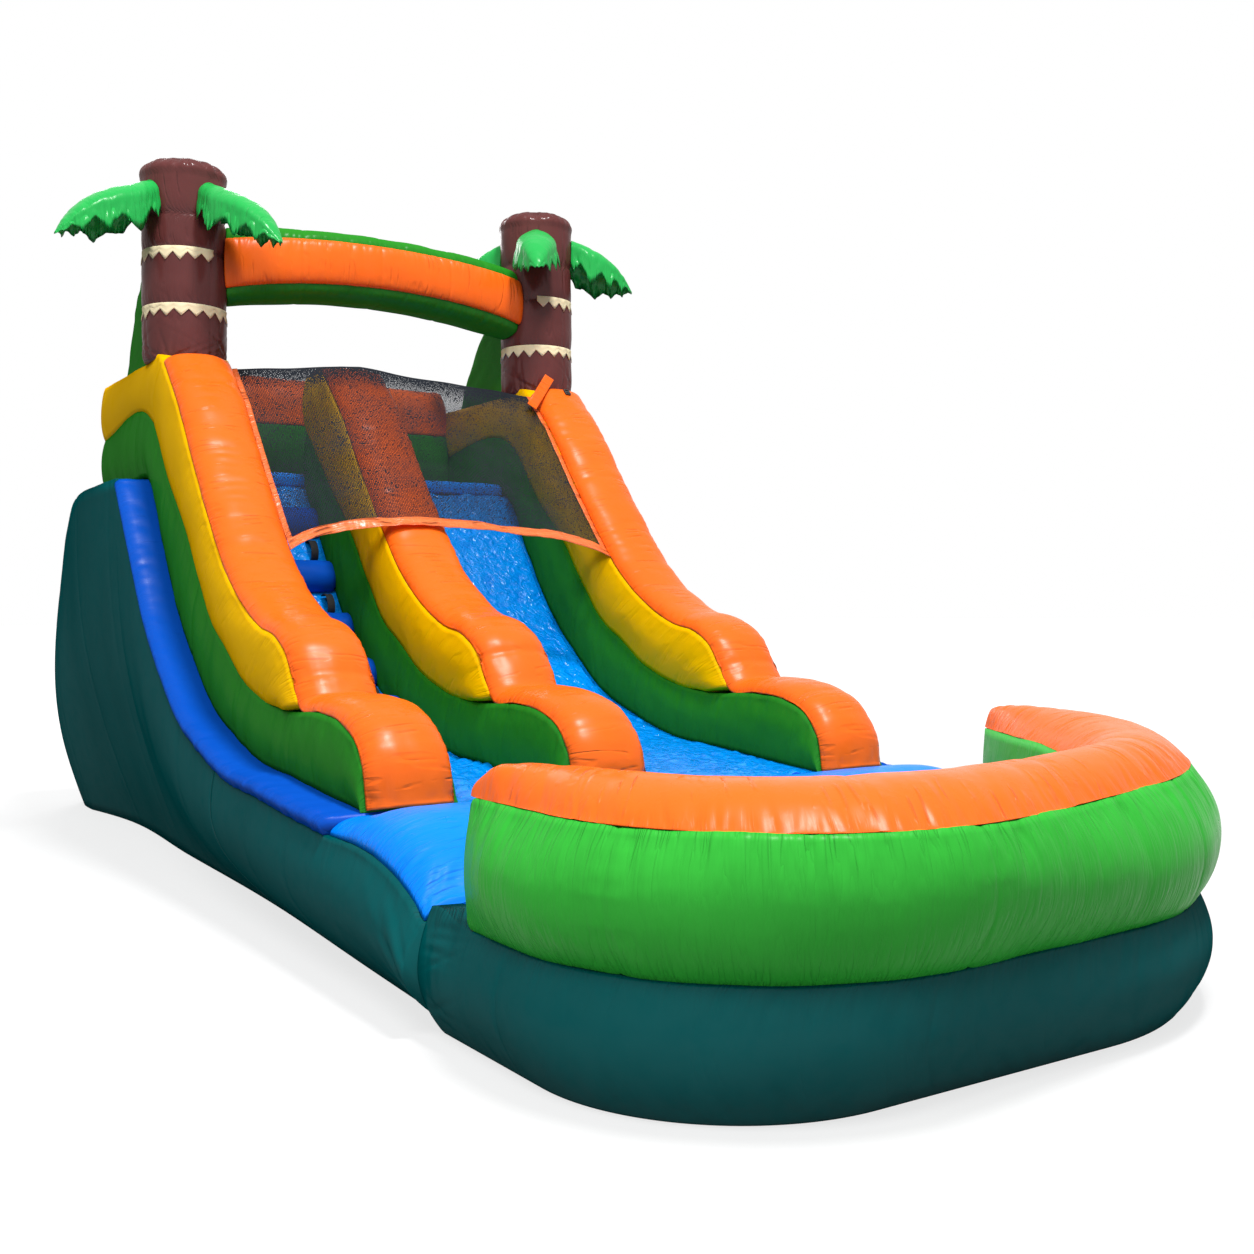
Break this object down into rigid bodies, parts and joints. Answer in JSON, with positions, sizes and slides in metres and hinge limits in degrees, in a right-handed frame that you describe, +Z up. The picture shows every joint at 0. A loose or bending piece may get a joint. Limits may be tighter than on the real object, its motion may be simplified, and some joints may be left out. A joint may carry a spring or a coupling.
{
  "type": "inflatable water slide",
  "caption": "Inflatable water slide with a climbing lane and a slide lane between padded rails, a palm-tree arch, a safety net over the top and a splash pool at the foot.",
  "frame": {"origin": "on the ground, midway between the two palm trunks", "axes": "X right across the lanes seen from the pool, Y to the back, Z up"},
  "size_m": [4.1835, 9.9797, 4.57],
  "materials": {
    "orange_vinyl": "glossy coated vinyl",
    "yellow_vinyl": "glossy coated vinyl",
    "green_vinyl": "glossy coated vinyl",
    "lime_vinyl": "glossy coated vinyl",
    "teal_vinyl": "glossy coated vinyl",
    "blue_vinyl": "glossy coated vinyl",
    "bright_vinyl": "very glossy coated vinyl",
    "brown_vinyl": "satin coated vinyl",
    "cream_vinyl": "satin vinyl trim",
    "frond_vinyl": "glossy coated vinyl",
    "black_mesh": "open woven mesh",
    "black_webbing": "woven webbing",
    "zinc": "zinc plated"
  },
  "bodies": {
    "slide": {"anchor_tab_back_left": "black_webbing", "anchor_tab_back_right": "black_webbing", "anchor_tab_front_right": "black_webbing", "arch_face": "orange_vinyl", "arch_tube": "green_vinyl", "back_wall": "green_vinyl", "back_wall_cap": "orange_vinyl", "blower_sleeve": "teal_vinyl", "climbing_handle_1": "black_webbing", "climbing_handle_2": "black_webbing", "climbing_handle_3": "black_webbing", "climbing_handle_4": "black_webbing", "climbing_step_1": "blue_vinyl", "climbing_step_2": "blue_vinyl", "climbing_step_3": "blue_vinyl", "climbing_step_4": "blue_vinyl", "climbing_step_5": "blue_vinyl", "exit_cushion": "bright_vinyl", "frond_left_1": "frond_vinyl", "frond_left_2": "frond_vinyl", "frond_left_3": "frond_vinyl", "frond_right_1": "frond_vinyl", "frond_right_2": "frond_vinyl", "frond_right_3": "frond_vinyl", "front_base": "teal_vinyl", "net_hem": "orange_vinyl", "net_panel": "black_mesh", "platform_deck": "bright_vinyl", "pool_base": "teal_vinyl", "pool_floor": "bright_vinyl", "pool_rim": "orange_vinyl", "pool_wall": "lime_vinyl", "rail_band_left": "yellow_vinyl", "rail_band_middle": "yellow_vinyl", "rail_band_right": "yellow_vinyl", "rail_cap_left": "orange_vinyl", "rail_cap_middle": "orange_vinyl", "rail_cap_right": "orange_vinyl", "rail_wall_left": "green_vinyl", "rail_wall_middle": "green_vinyl", "rail_wall_right": "green_vinyl", "slide_bed": "blue_vinyl", "slide_liner": "bright_vinyl", "strap_buckle": "black_webbing", "tie_strap": "orange_vinyl", "tower_base": "teal_vinyl", "trunk_band_lower_left": "cream_vinyl", "trunk_band_lower_right": "cream_vinyl", "trunk_band_upper_left": "cream_vinyl", "trunk_band_upper_right": "cream_vinyl", "trunk_left": "brown_vinyl", "trunk_right": "brown_vinyl", "wing_left": "green_vinyl", "wing_right": "green_vinyl", "zip_tape": "black_webbing"},
    "ring_back_left": {"anchor_ring_back_left": "zinc"},
    "ring_back_right": {"anchor_ring_back_right": "zinc"},
    "ring_front_right": {"anchor_ring_front_right": "zinc"},
    "zip_slider": {"zip_slider": "zinc"},
    "zip_flap": {"zip_flap": "teal_vinyl"}
  },
  "joints": [
    {"name": "ring_back_left_swing", "type": "hinge", "parent": "slide", "child": "ring_back_left", "pos_m": [-0.95, 3.3691, 0.2], "axis": [1, 0, 0], "range_deg": [0, 160]},
    {"name": "ring_back_right_swing", "type": "hinge", "parent": "slide", "child": "ring_back_right", "pos_m": [0.95, 3.3691, 0.2], "axis": [1, 0, 0], "range_deg": [0, 160]},
    {"name": "ring_front_right_swing", "type": "hinge", "parent": "slide", "child": "ring_front_right", "pos_m": [1.66995, -3.19903, 0.18422], "axis": [0.0366, -0.9987, -0.0342], "range_deg": [0, 130]},
    {"name": "zip_slider_travel", "type": "slide", "parent": "slide", "child": "zip_slider", "axis": [1, 0, 0], "range_m": [0, 0.55]},
    {"name": "zip_flap_hinge", "type": "hinge", "parent": "slide", "child": "zip_flap", "pos_m": [-0.4, 3.3618, 0.5], "axis": [1, 0, 0], "range_deg": [0, 120]}
  ]
}
